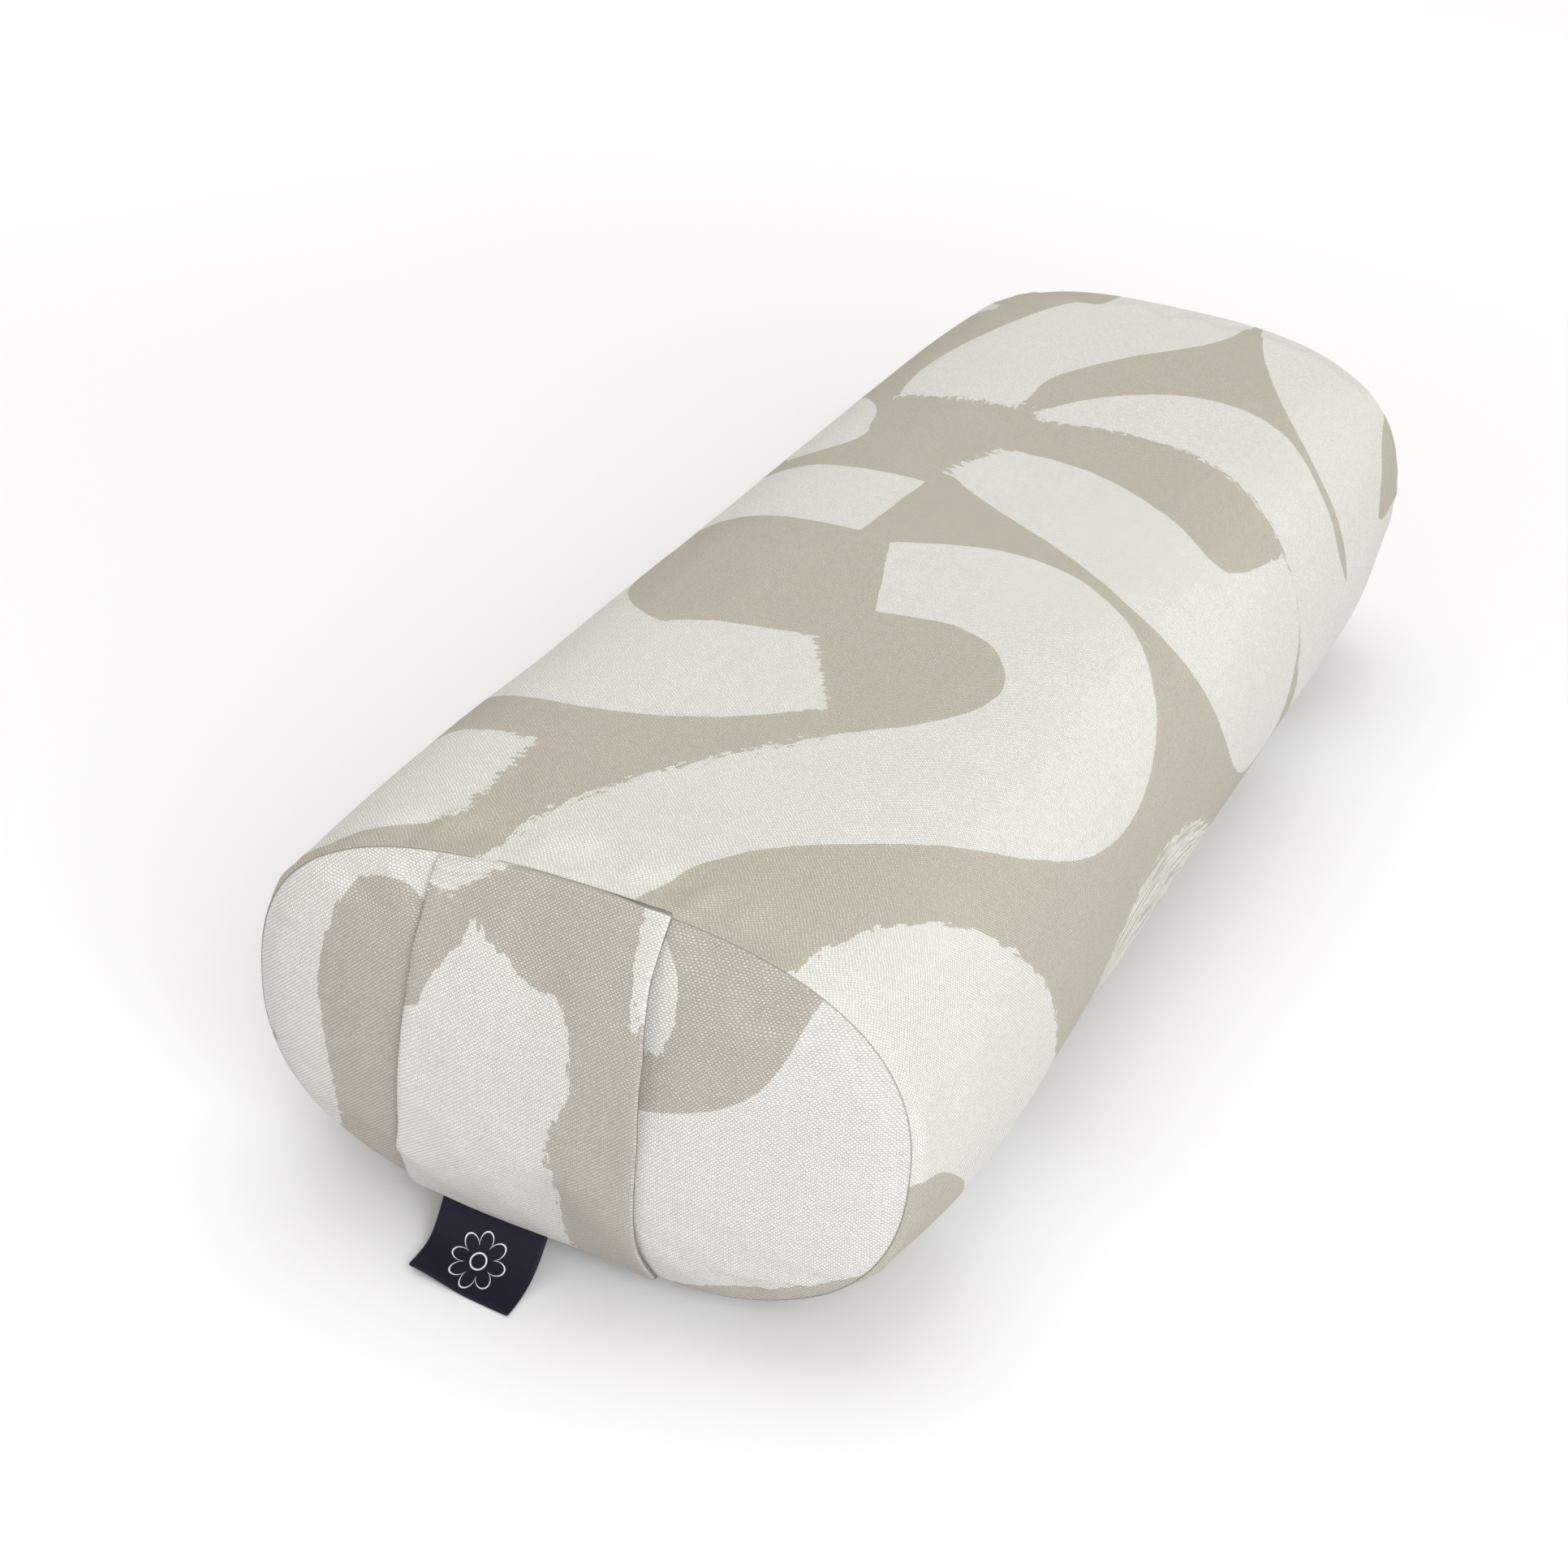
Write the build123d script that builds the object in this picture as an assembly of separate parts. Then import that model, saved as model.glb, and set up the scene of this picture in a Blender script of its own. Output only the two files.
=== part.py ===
from build123d import *
import os
from math import asin, atan, cos, degrees, sin

# Bolster pillow: a firm core in a sewn inner case, inside a removable canvas cover with a carry
# handle across its front end and a zip along its left side.
# Millimetres. Origin on the floor under the middle of the body. +X to the right, +Y along the
# length towards the rear end, +Z up. The front end, with the handle and the label, faces -Y.

# ---- driving dimensions ----
seam_to_seam = 690          # length of the wrap between its two end seams
body_width = 280
body_height = 167
side_radius = 330           # the sides bulge gently, widest at side_middle above the floor
side_middle = 80
top_radius = 940
upper_corner = 66
lower_corner = 48
draw_in_length = 95         # stretch over which the body narrows to its end seams
draw_in = 8                 # the seams lie this far inside the body, and above the floor
end_steps = ((9, 8), (9, 12), (6, 20))   # an end panel's crown: each step out and inwards

canvas = 1.0
lining = 0.6
wadding = 12
liner_inset = 3.3           # cover's outside to liner's outside, with room for the zip slider
layer_gap = 0.3
seam_groove = 1.0
thread = 0.7

handle_width = 98
handle_centre = -10
handle_thickness = 1.8
handle_end_gap = 0.8        # clearance of the sewn ends from the panel
hand_room = 6.5             # free space behind the middle of the handle
handle_squareness = 3       # 2 would be a parabola, more is flatter in the middle
handle_trim = 1             # the band's ends stop this far inside the seam

label_width = 47
label_length = 38
label_thickness = 0.9
label_centre = -27.5
label_root_out = 0.9        # out from the front seam
label_root_height = 6.7
label_slope = 9.5           # degrees down to the floor

zip_height = 62             # middle of the zip above the floor
zip_length = 480
tape_inset = 1.1
tape_thickness = 0.6
tape_width = 12
tape_gap = 0.6              # half of the gap between the two tapes
tape_tail = 9               # tape past each end of the coils
slot_half_width = 5
slot_tail = 7
zip_depth = 8               # how deep, from the cover's surface, the zip's cuts may reach
coil_inner = 0.5            # edges of one coil, from the zip's middle
coil_outer = 3.1
coil_bottom = -0.95         # measured outwards from the cover's surface
coil_top = 1.25
stop_length = 3.5
stop_gap = 0.2
stitch_row = 8              # each row of stitches from the zip's middle
stitch_pitch = 8
stitch_length = 6
stitch_width = 0.6
stitch_thickness = 0.6
stitch_lift = 0.1

slider_length = 9.5
slider_half_width = 4.4
slider_plate = 1.0
slider_wall = 1.0
slider_top = 1.55           # underside of the slider's outer plate
slider_bottom = -2.05       # upper face of its inner plate
slider_foot = -0.75         # its walls stop here, above the tapes
slider_from_end = 1         # from the coils' front end when the zip is closed
divider = 0.6
divider_length = 3
bridge_length = 4.6
bridge_width = 2.2
bridge_corner = 1.1
bridge_over_pin = 1.2       # top of the bridge above the pin's middle
pin_height = 3.6
pin_radius = 0.62
pin_length = 5.2
pin_hole_radius = 0.7
pull_length = 26
pull_width = 7.2
pull_thickness = 1.0
pull_corner = 2.5
pull_hole_radius = 1.6
pull_hole_from_end = 5
arm_length = 3.6            # two arms join the tab to the pin, beside the bridge
arm_inner = 1.4
arm_outer = 2.6
arm_past_pin = 0.6
arm_overlap = 0.5           # of each arm with the tab

end_crown = sum(out for out, inwards in end_steps)
front_seam = -seam_to_seam / 2
rear_seam = seam_to_seam / 2
seam_middle = body_height / 2
seam_half_height = body_height / 2 - draw_in
far = 3 * body_width        # beyond the whole object on any side


# ---- shared shapes ----
def section(inset):
    """Upright section of the full body, drawn in by inset: bulging sides, crowned top, flat base."""
    shift = side_radius - body_width / 2
    side = Circle(side_radius)
    face = Pos(shift, side_middle) * side & Pos(-shift, side_middle) * side
    face &= Pos(0, body_height - top_radius) * Circle(top_radius)
    face &= Pos(0, body_height) * Rectangle(2 * body_width, 2 * body_height)
    face = fillet(face.vertices().group_by(Axis.Y)[-1], upper_corner)
    face = fillet(face.vertices().group_by(Axis.Y)[0], lower_corner)
    return offset(face, -inset) if inset else face


def pillow(inset):
    """The whole filled form, drawn in by inset on every side."""
    half = seam_to_seam / 2 - draw_in_length - inset
    middle = extrude(Plane.XZ * section(inset), half, both=True)
    end = Part()
    drawn = inset
    for out, inwards in ((draw_in_length, draw_in), *end_steps):
        face = Plane.XZ.offset(half) * section(drawn)
        end += extrude(face, out, taper=degrees(atan(inwards / out)))
        half += out
        drawn += inwards
    return middle + end + mirror(end, about=Plane.XZ)


def between(solid, low, high):
    """The part of solid with y between low and high."""
    return solid & Pos(0, (low + high) / 2, 0) * Box(far, high - low, far)


def block(x, y, z):
    """Box between the two values given for each direction."""
    centre = Pos((x[0] + x[1]) / 2, (y[0] + y[1]) / 2, (z[0] + z[1]) / 2)
    return centre * Box(x[1] - x[0], y[1] - y[0], z[1] - z[0])


def zip_plane():
    """Plane on the cover at the zip: x to the front, y up the side, z straight out."""
    lean = asin((side_middle - zip_height) / side_radius)
    x = side_radius - body_width / 2 - side_radius * cos(lean)
    return Plane(origin=(x, 0, zip_height), x_dir=(0, -1, 0), z_dir=(-cos(lean), 0, -sin(lean)))


# ---- inner cushion ----
def foam_core():
    return pillow(liner_inset + lining + wadding + 2 * layer_gap)


def fibre_wadding():
    inset = liner_inset + lining + layer_gap
    return pillow(inset) - pillow(inset + wadding)


def liner_parts():
    """Tube, front end, rear end and the two rings of thread of the inner case."""
    shell = pillow(liner_inset) - pillow(liner_inset + lining)
    end = seam_to_seam / 2 - liner_inset
    tube = between(shell, -end + thread / 2, end - thread / 2)
    front = between(shell, -far, -end - thread / 2)
    rear = between(shell, end + thread / 2, far)
    front_ring = between(shell, -end - thread / 4, -end + thread / 4)
    rear_ring = between(shell, end - thread / 4, end + thread / 4)
    return tube, front, rear, Compound(front_ring.solids() + rear_ring.solids())


# ---- cover ----
def cover_parts():
    """Wrap with its zip opening, and the two end panels."""
    shell = pillow(0) - pillow(canvas)
    groove = seam_groove / 2
    wrap = between(shell, front_seam + groove, rear_seam - groove)
    half = zip_length / 2 + slot_tail
    slot = (-slot_half_width, slot_half_width)
    opening = zip_plane() * block((-half, half), slot, (-zip_depth, zip_depth))
    front = between(shell, -far, front_seam - groove)
    rear = between(shell, rear_seam + groove, far)
    return wrap - opening, front, rear


def seam_thread(y):
    """Ring of thread at the bottom of the groove between the wrap and an end panel."""
    ring = pillow((canvas - thread) / 2) - pillow((canvas + thread) / 2)
    return between(ring, y - thread / 2, y + thread / 2)


def carry_handle():
    """Wide doubled band from the top of the front seam to its bottom, bowed clear of the panel."""
    steps = 12
    inner = []
    outer = []
    for step in range(steps + 1):
        rise = 2 * step / steps - 1
        bow = (end_crown + hand_room) * (1 - abs(rise) ** handle_squareness)
        y = front_seam - handle_end_gap - bow
        height = seam_middle + rise * seam_half_height
        inner.append((y, height))
        outer.append((y - handle_thickness, height))
    outer.reverse()
    edges = Spline(*inner) + Line(inner[-1], outer[0]) + Spline(*outer) + Line(outer[-1], inner[0])
    band = extrude(Plane.YZ * make_face(edges), handle_width / 2, both=True)
    within_seam = Plane.XZ.offset(-front_seam) * section(draw_in + handle_trim)
    return Pos(handle_centre, 0, 0) * band & extrude(within_seam, 2 * end_crown)


def woven_label():
    """Folded label that comes out of the bottom of the front seam and lies down on the floor."""
    leaf = Pos(0, -label_length / 2, 0) * Box(label_width, label_length, label_thickness)
    fold = leaf.edges().filter_by(Axis.X).sort_by(Axis.Y)[:2]
    leaf = fillet(fold, label_thickness * 0.45)
    root = Pos(label_centre, front_seam - label_root_out, label_root_height)
    return root * Rot(label_slope, 0, 0) * leaf


# ---- zip, drawn in the zip's own plane ----
def zip_tape(side):
    """One tape under the edge of the slot: side is 1 for the upper one and -1 for the lower."""
    strip = pillow(tape_inset) - pillow(tape_inset + tape_thickness)
    half = zip_length / 2 + tape_tail
    edges = sorted((side * tape_gap, side * (tape_gap + tape_width)))
    return strip & zip_plane() * block((-half, half), edges, (-zip_depth, zip_depth))


def zip_coil(side):
    half = zip_length / 2
    edges = sorted((side * coil_inner, side * coil_outer))
    return zip_plane() * block((-half, half), edges, (coil_bottom, coil_top))


def zip_stop(end, edges):
    """Crimped stop past the coils' end: end is 1 at the front and -1 at the rear."""
    start = zip_length / 2 + stop_gap
    length = sorted((end * start, end * (start + stop_length)))
    return zip_plane() * block(length, edges, (coil_bottom, coil_top))


def zip_stitching():
    """Two rows of separate stitches that hold the tapes, lying on the cover."""
    wide = (-stitch_width / 2, stitch_width / 2)
    high = (stitch_lift, stitch_lift + stitch_thickness)
    stitches = []
    for side in (-1, 1):
        row = zip_plane() * Pos(0, side * stitch_row, 0)
        for number in range(int(zip_length / stitch_pitch)):
            start = -zip_length / 2 + stitch_pitch * number
            stitches += (row * block((start, start + stitch_length), wide, high)).solids()
    return Compound(stitches)


def slider_place():
    return zip_plane() * Pos(zip_length / 2 - slider_length / 2 - slider_from_end, 0, 0)


def zip_slider():
    """Two plates joined by a divider, walls beside the coils and a bridge for the pull."""
    half = slider_length / 2
    wide = (-slider_half_width, slider_half_width)
    outer_plate = block((-half, half), wide, (slider_top, slider_top + slider_plate))
    inner_plate = block((-half, half), wide, (slider_bottom - slider_plate, slider_bottom))
    wedge = (-divider / 2, divider / 2)
    web = block((half - divider_length, half), wedge, (slider_bottom, slider_top))
    body = outer_plate + inner_plate + web
    inside = slider_half_width - slider_wall
    for side in (-1, 1):
        edges = sorted((side * inside, side * slider_half_width))
        body += block((-half, half), edges, (slider_foot, slider_top))
    bridge = block(
        (-bridge_length / 2, bridge_length / 2),
        (-bridge_width / 2, bridge_width / 2),
        (slider_top + slider_plate, pin_height + bridge_over_pin),
    )
    bridge = fillet(bridge.edges().filter_by(Axis.Y).group_by(Axis.Z)[-1], bridge_corner)
    hole = Pos(0, 0, pin_height) * Rot(90, 0, 0) * Cylinder(pin_hole_radius, 2 * bridge_width)
    return slider_place() * (body + bridge - hole)


def zip_pull():
    """Tab that lies back along the zip, hung by a pin through the slider's bridge."""
    pin = Rot(90, 0, 0) * Cylinder(pin_radius, pin_length)
    thickness = (-pull_thickness / 2, pull_thickness / 2)
    tab = block((-pull_length, -arm_length), (-pull_width / 2, pull_width / 2), thickness)
    tab = fillet(tab.edges().filter_by(Axis.Z).group_by(Axis.X)[0], pull_corner)
    hole = Cylinder(pull_hole_radius, 2 * pull_thickness)
    tab -= Pos(pull_hole_from_end - pull_length, 0, 0) * hole
    for side in (-1, 1):
        edges = sorted((side * arm_inner, side * arm_outer))
        tab += block((-arm_length - arm_overlap, arm_past_pin), edges, thickness)
    return slider_place() * Pos(0, 0, pin_height) * (tab + pin)


# ---- write every piece ----
def main():
    liner_tube, liner_front_end, liner_rear_end, liner_seam_thread = liner_parts()
    cover_wrap, front_end_panel, rear_end_panel = cover_parts()
    both_coils = (-coil_outer, coil_outer)
    top_stop = zip_stop(1, (-coil_outer, -coil_inner)) + zip_stop(1, (coil_inner, coil_outer))
    pieces = {
        "foam_core": foam_core(),
        "fibre_wadding": fibre_wadding(),
        "liner_tube": liner_tube,
        "liner_front_end": liner_front_end,
        "liner_rear_end": liner_rear_end,
        "liner_seam_thread": liner_seam_thread,
        "cover_wrap": cover_wrap,
        "front_end_panel": front_end_panel,
        "rear_end_panel": rear_end_panel,
        "front_seam_thread": seam_thread(front_seam),
        "rear_seam_thread": seam_thread(rear_seam),
        "carry_handle": carry_handle(),
        "woven_label": woven_label(),
        "zip_tape_upper": zip_tape(1),
        "zip_tape_lower": zip_tape(-1),
        "zip_coil_upper": zip_coil(1),
        "zip_coil_lower": zip_coil(-1),
        "zip_stitching": zip_stitching(),
        "zip_slider": zip_slider(),
        "zip_pull": zip_pull(),
        "zip_top_stop": top_stop,
        "zip_bottom_stop": zip_stop(-1, both_coils),
    }
    os.makedirs("parts", exist_ok=True)
    for name, piece in pieces.items():
        export_step(piece, f"parts/{name}.step")
        size = piece.bounding_box()
        print(name, len(piece.solids()), round(piece.volume), tuple(size.min), tuple(size.max))


main()
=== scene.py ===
import math
from functools import partialmethod

import bpy
import numpy as np
from mathutils import Matrix, Vector
from mathutils.bvhtree import BVHTree


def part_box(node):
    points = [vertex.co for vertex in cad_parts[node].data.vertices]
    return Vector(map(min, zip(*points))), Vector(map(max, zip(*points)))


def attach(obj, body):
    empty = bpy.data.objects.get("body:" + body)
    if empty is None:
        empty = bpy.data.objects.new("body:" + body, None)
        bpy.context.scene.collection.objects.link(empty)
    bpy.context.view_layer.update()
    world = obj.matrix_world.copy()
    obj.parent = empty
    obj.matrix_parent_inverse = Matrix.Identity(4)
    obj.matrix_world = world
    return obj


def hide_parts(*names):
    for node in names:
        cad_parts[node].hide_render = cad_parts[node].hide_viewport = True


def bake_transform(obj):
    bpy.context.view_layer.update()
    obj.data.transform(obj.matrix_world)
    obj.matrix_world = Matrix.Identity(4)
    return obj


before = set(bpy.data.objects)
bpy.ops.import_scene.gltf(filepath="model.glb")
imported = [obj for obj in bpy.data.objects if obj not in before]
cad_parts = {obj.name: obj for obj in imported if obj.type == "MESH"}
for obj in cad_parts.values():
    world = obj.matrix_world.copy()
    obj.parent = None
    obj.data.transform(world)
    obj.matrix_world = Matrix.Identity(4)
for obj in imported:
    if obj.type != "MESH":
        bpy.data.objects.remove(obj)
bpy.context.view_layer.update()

MM = 0.001

# ---- measures taken from the frame ----
wrap_low, wrap_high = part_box("cover_wrap")
ring_low, ring_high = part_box("front_seam_thread")
band_low, band_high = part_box("carry_handle")
label_low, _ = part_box("woven_label")
coil_low, coil_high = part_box("zip_coil_upper")
lower_coil_low, lower_coil_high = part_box("zip_coil_lower")

SEAM = -(ring_low.y + ring_high.y) / 2      # distance of each end seam from the middle
BODY_WIDTH = wrap_high.x - wrap_low.x
BODY_HEIGHT = wrap_high.z
SEAM_WIDTH = ring_high.x - ring_low.x
ZIP_HEIGHT = (coil_low.z + lower_coil_high.z) / 2
ZIP_HALF = coil_high.y

# ---- the filled form ----
SEAM_LIFT = 4.5 * MM        # end seams above the CAD ring at the bottom
SEAM_SAG = 6 * MM           # and sagging by this towards the right
SEAM_RISE = 10.4 * MM       # end seams above the CAD ring at the top, where the filling lifts them
SEAM_HEIGHT = ring_high.z + SEAM_RISE - ring_low.z - SEAM_LIFT
SEAM_MIDDLE = ring_low.z + SEAM_LIFT + SEAM_HEIGHT / 2
FLOOR_DIP = 3 * MM          # the body would reach this far below the floor that flattens it
DRAW_IN = 95 * MM
CROWN = 25 * MM
BODY_POWERS = (3.37, 2.29)
SEAM_POWERS = (2.79, 2.42)

# ---- cloth simulation grid, and the finer grid of the finished pieces ----
COARSE_AROUND = 96
COARSE_ALONG = 86
COARSE_PANEL = 24
OUTLINE_POINTS = 1441       # points round one section's outline
PANEL_CORNER = 1 / 6        # share of the seam from the zip's line up to the panel's first corner
FINE_AROUND = 288
FINE_STEP = 3.0 * MM
FINE_PANEL = 72

SEAM_ROLL = 0.6 * MM        # the cloth turns into a seam with this radius
ROLL_TURNS = (20, 40, 60, 78)    # degrees
RIM_OUT = -0.6 * MM         # the panels' rims, measured outwards from the wrap's edge
SLOT_HALF = 5 * MM          # the wrap's edges beside the zip
SLOT_END = ZIP_HALF + 7 * MM
CLOSED_GAP = 0.9 * MM       # the same edges where they are sewn together beyond the zip
COIL_STANDS = 0.15 * MM     # the coils' middle stands this far off the cover
COIL_PITCH = 1.2 * MM
ZIP_STITCH_LINE = 8 * MM
STITCH_PITCH = 3.3 * MM
LABEL_WIDTH = 44.5 * MM
LABEL_MARK_HEIGHT = 14 * MM     # middle of the label's mark above its folded edge
# the label's middle from inside the seam to its folded edge: forward of the seam, and height
LABEL_PATH = np.array([
    (-1.5, 15.6), (0.2, 14.0), (2.8, 11.7), (6.6, 8.0), (11.8, 4.3), (18, 2.0), (25.5, 1.0), (32.8, 1.05),
]) * MM
BACK_SHIFT = 1.0            # moves the places of a slab's back away from its front's
WEAVE = 0.78 * MM           # one thread of the canvas
TORN_REACH = 22 * MM        # a torn end of a brush stroke is ragged this far back
SEAM_ROWS = {-1: 0, 1: COARSE_ALONG}    # the coarse grid's row at each end seam

# across and down (mm) from the edge of the wrap as it folds under itself beside the zip, and
# how much cloth each step takes
HEM_FOLD = ((0.35, 0.15), (0.5, 0.5), (0.35, 0.85), (0, 1.0), (-2.4, 1.05))
HEM_CLOTH = np.array([0.4, 0.8, 1.2, 1.6, 4.0]) * MM
ROLL_CLOTH = np.append(SEAM_ROLL * np.radians(ROLL_TURNS), 3.4 * MM)[:, None]
TUBE_UP = (0.3, 0.2, 0.93)  # a direction no thread or coil runs along

CLOTH_FRAMES = 20
CLOTH_LIMIT = 2.5 * MM      # the cloth moves no point further than this
CLOTH_SETTINGS = {
    "quality": 6,
    "mass": 0.3,
    "tension_stiffness": 60,
    "compression_stiffness": 40,
    "shear_stiffness": 20,
    "bending_stiffness": 3,
    "vertex_group_shrink": "seams",
    "shrink_min": -0.01,
    "shrink_max": 0.05,
    "use_pressure": True,
    "uniform_pressure_force": 5,
}

CAMERA_TURNS = (0.380, 0.513, 0.090)    # round from the front, up and rolled (radians)
CAMERA_DISTANCE = 1.252
CAMERA_LENS = 66


# ---- small helpers ----
def smooth(value, low, high):
    """0 below low, 1 above high, with a soft ramp between."""
    t = np.clip((value - low) / (high - low), 0, 1)
    return t * t * (3 - 2 * t)


def ripple(position, wavelength, seed, terms=7):
    """Soft irregular wave along position, about -1 to 1, that depends only on its seed."""
    random = np.random.default_rng(seed)
    total = np.zeros_like(position)
    for _ in range(terms):
        stretch = wavelength * random.uniform(0.6, 1.7)
        total += np.sin(2 * np.pi * (position / stretch + random.uniform()))
    return total / math.sqrt(terms)


def unit(vectors):
    """The vectors at length 1."""
    return vectors / np.maximum(np.linalg.norm(vectors, axis=-1), 1e-12)[..., None]


def stack(*values):
    """The values side by side along a last axis, each spread over the others' grid."""
    return np.stack(np.broadcast_arrays(*values), -1)


def frame_matrix(x, y, z, place):
    """Matrix with these three axes and this origin."""
    return Matrix([*zip(x, y, z, place), (0, 0, 0, 1)])


def add_object(name, data):
    thing = bpy.data.objects.new(name, data)
    bpy.context.scene.collection.objects.link(thing)
    return thing


def make_mesh(name, points, faces, uv=None, attributes=None):
    """Smooth mesh object from arrays; uv and attributes hold one place or vector for each point."""
    mesh = bpy.data.meshes.new(name)
    mesh.from_pydata(points.reshape(-1, 3).tolist(), [], faces.tolist())
    mesh.validate()
    corner = np.zeros(len(mesh.loops), np.int32)
    mesh.loops.foreach_get("vertex_index", corner)
    if uv is not None:
        layer = mesh.uv_layers.new(name="cloth")
        layer.data.foreach_set("uv", np.asarray(uv, np.float32).reshape(-1, 2)[corner].ravel())
    for key, values in (attributes or {}).items():
        layer = mesh.attributes.new(key, "FLOAT_VECTOR", "POINT")
        layer.data.foreach_set("vector", np.asarray(values, np.float32).ravel())
    mesh.shade_smooth()
    return add_object(name, mesh)


def grid_faces(rows, columns, closed=False):
    """Quads of a grid of points, row by row; closed joins the last column to the first."""
    i = np.arange(rows - 1)[:, None]
    j = np.arange(columns if closed else columns - 1)[None, :]
    after = (j + 1) % columns
    corners = (i * columns + j, i * columns + after, (i + 1) * columns + after, (i + 1) * columns + j)
    return stack(*corners).reshape(-1, 4)


def sample(field, row, column, closed=False):
    """Smooth (Catmull-Rom) value of a grid of vectors at fractional rows and columns."""
    def weights(t):
        return (
            ((2 - t) * t - 1) * t / 2,
            ((3 * t - 5) * t * t + 2) / 2,
            ((4 - 3 * t) * t + 1) * t / 2,
            (t - 1) * t * t / 2,
        )

    rows, columns = field.shape[:2]
    base_row = np.clip(np.floor(row).astype(int), 0, rows - 2)
    base_column = np.floor(column).astype(int)
    if not closed:
        base_column = np.clip(base_column, 0, columns - 2)
    total = 0
    for a, row_weight in enumerate(weights(row - base_row)):
        for b, column_weight in enumerate(weights(column - base_column)):
            r = np.clip(base_row + a - 1, 0, rows - 1)
            c = base_column + b - 1
            c = c % columns if closed else np.clip(c, 0, columns - 1)
            total = total + (row_weight * column_weight)[..., None] * field[r, c]
    return total


def tube(path, radius, sides=6):
    """Points and faces of a capped tube along a list of points."""
    path = np.asarray(path, float)
    along = unit(np.gradient(path, axis=0))
    side = unit(np.cross(along, TUBE_UP))
    up = np.cross(along, side)
    turn = np.linspace(0, 2 * np.pi, sides, endpoint=False)[None, :, None]
    ring = path[:, None] + radius * (np.cos(turn) * side[:, None] + np.sin(turn) * up[:, None])
    faces = grid_faces(len(path), sides, closed=True).tolist()
    faces.append(list(range(sides))[::-1])
    faces.append([(len(path) - 1) * sides + k for k in range(sides)])
    return ring.reshape(-1, 3), faces


def make_tubes(name, paths, radius, sides=6):
    """One object with a tube along each path."""
    points = []
    faces = []
    count = 0
    for path in paths:
        ring, quads = tube(path, radius, sides)
        points.append(ring)
        faces += [[k + count for k in quad] for quad in quads]
        count += len(ring)
    mesh = bpy.data.meshes.new(name)
    mesh.from_pydata(np.concatenate(points).tolist(), [], faces)
    mesh.shade_smooth()
    return add_object(name, mesh)


# ---- the filled form ----
def outline(share, fraction):
    """x and z at a share of the way round a section, from the zip's line up, over and back to it.
    share is 0 at an end seam and 1 in the full body."""
    width = SEAM_WIDTH + (BODY_WIDTH - SEAM_WIDTH) * share
    height = SEAM_HEIGHT + (BODY_HEIGHT + FLOOR_DIP - SEAM_HEIGHT) * share
    middle = SEAM_MIDDLE + ((BODY_HEIGHT - FLOOR_DIP) / 2 - SEAM_MIDDLE) * share
    power_x = SEAM_POWERS[0] + (BODY_POWERS[0] - SEAM_POWERS[0]) * share
    power_z = SEAM_POWERS[1] + (BODY_POWERS[1] - SEAM_POWERS[1]) * share
    drop = (middle - ZIP_HEIGHT) / (height / 2)
    start = math.pi + math.asin(drop ** (power_z / 2))
    angle = np.linspace(start, start - 2 * math.pi, OUTLINE_POINTS)
    x = width / 2 * np.sign(np.cos(angle)) * np.abs(np.cos(angle)) ** (2 / power_x)
    z = middle + height / 2 * np.sign(np.sin(angle)) * np.abs(np.sin(angle)) ** (2 / power_z)
    low = np.maximum(-np.sin(angle), 0)
    sag = SEAM_SAG * (1 - share) * low * smooth(x, 0, 75 * MM)
    z = np.maximum(z - sag, 0)
    travelled = np.concatenate([[0], np.cumsum(np.hypot(np.diff(x), np.diff(z)))])
    travelled /= travelled[-1]
    return np.interp(fraction, travelled, x), np.interp(fraction, travelled, z)


def section_share(y):
    """How far a section at y has widened from the end seam to the full body."""
    return math.sin(math.pi / 2 * min(1.0, max(0.0, (SEAM - abs(y)) / DRAW_IN)))


def panel_place(size):
    """Reach from the centre (0 to 1), share of the way round, and u, v, on a panel's square grid."""
    line = np.linspace(-1, 1, size + 1)
    u, v = np.meshgrid(line, line, indexing="ij")
    reach = np.maximum(np.abs(u), np.abs(v))
    safe = np.maximum(reach, 1e-9)
    on_top_or_bottom = np.abs(v) >= reach * (1 - 1e-9)
    top_or_bottom = np.where(v > 0, (u / safe + 1) / 2, 2 + (1 - u / safe) / 2)
    left_or_right = np.where(u > 0, 1 + (1 - v / safe) / 2, 3 + (v / safe + 1) / 2)
    side = np.where(on_top_or_bottom, top_or_bottom, left_or_right)
    return reach, (side / 4 + PANEL_CORNER) % 1.0, u / safe, v / safe


def panel_form(end, reach, fraction):
    """Points of a crowned end panel: end is -1 at the front and 1 at the rear."""
    x, z = outline(0, fraction)
    y = end * (SEAM + CROWN * (1 - reach**2))
    return stack(x * reach, y, SEAM_MIDDLE + (z - SEAM_MIDDLE) * reach)


def tube_form(y_rows, fractions):
    """Points of the wrap's surface on a grid of rows along y and shares of the way round."""
    rows = []
    for y in y_rows:
        x, z = outline(section_share(y), fractions)
        rows.append(stack(x, y, z))
    return np.array(rows)


full_x, full_z = outline(1, np.linspace(0, 1, 2001))
GIRTH = float(np.hypot(np.diff(full_x), np.diff(full_z)).sum())
TOP_FRACTION = float(np.interp(0, full_x[:1000], np.linspace(0, 0.4995, 1000)))


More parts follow.
